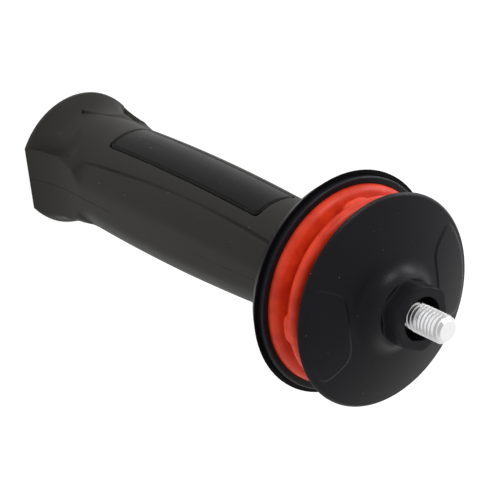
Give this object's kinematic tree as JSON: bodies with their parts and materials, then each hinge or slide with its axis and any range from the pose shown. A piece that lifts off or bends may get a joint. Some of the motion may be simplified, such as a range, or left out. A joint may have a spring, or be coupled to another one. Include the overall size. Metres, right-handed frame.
{
  "type": "power tool side handle",
  "caption": "Vibration-damped auxiliary side handle: soft-skinned grip with flared end, round guard, bellows damper, domed front disc and threaded stud.",
  "frame": {"origin": "centre of the footprint, on the plane of the grip's flat rear end", "axes": "+Z along the stud's axis from the grip's rear end to the stud's tip, +X out of one flat side panel of the grip, -Y out of the grip's long pad"},
  "size_m": [0.0631, 0.0632, 0.1609],
  "materials": {
    "hard_black": "moulded glass-filled nylon, fine matt grain",
    "soft_black": "soft-touch elastomer skin, satin",
    "pad_black": "smooth satin plastic",
    "red_elastomer": "red elastomer, satin",
    "black_elastomer": "dark rubber, matt",
    "zinc_steel": "bright zinc plating",
    "bush_white": "natural acetal, smooth",
    "nylon_blue": "nylon locking ring"
  },
  "bodies": {
    "grip": {"grip_core": "hard_black", "grip_sleeve": "soft_black", "top_inlay": "pad_black", "end_cap": "hard_black", "bush_retainer": "hard_black", "retainer_screws": "zinc_steel", "bellows_ring": "hard_black", "damper_bellows": "red_elastomer", "buffer_ring": "black_elastomer"},
    "bush": {"swivel_bush": "bush_white"},
    "head": {"front_disc": "hard_black", "threaded_stud": "zinc_steel", "coupling_plate": "hard_black", "plate_screws": "zinc_steel", "spacer_sleeve": "zinc_steel", "stop_washer": "zinc_steel", "lock_nut": "zinc_steel", "locking_ring": "nylon_blue"}
  },
  "joints": [
    {"name": "tilt_about_x", "type": "hinge", "parent": "grip", "child": "bush", "pos_m": [0, 0, 0.118], "axis": [1, 0, 0], "range_deg": [-3, 3], "stiffness_Nm_per_rad": 40, "deforming": ["damper_bellows", "buffer_ring"]},
    {"name": "tilt_about_y", "type": "hinge", "parent": "bush", "child": "head", "pos_m": [0, 0, 0.118], "axis": [0, 1, 0], "range_deg": [-3, 3], "stiffness_Nm_per_rad": 40, "deforming": ["damper_bellows", "buffer_ring"]}
  ]
}
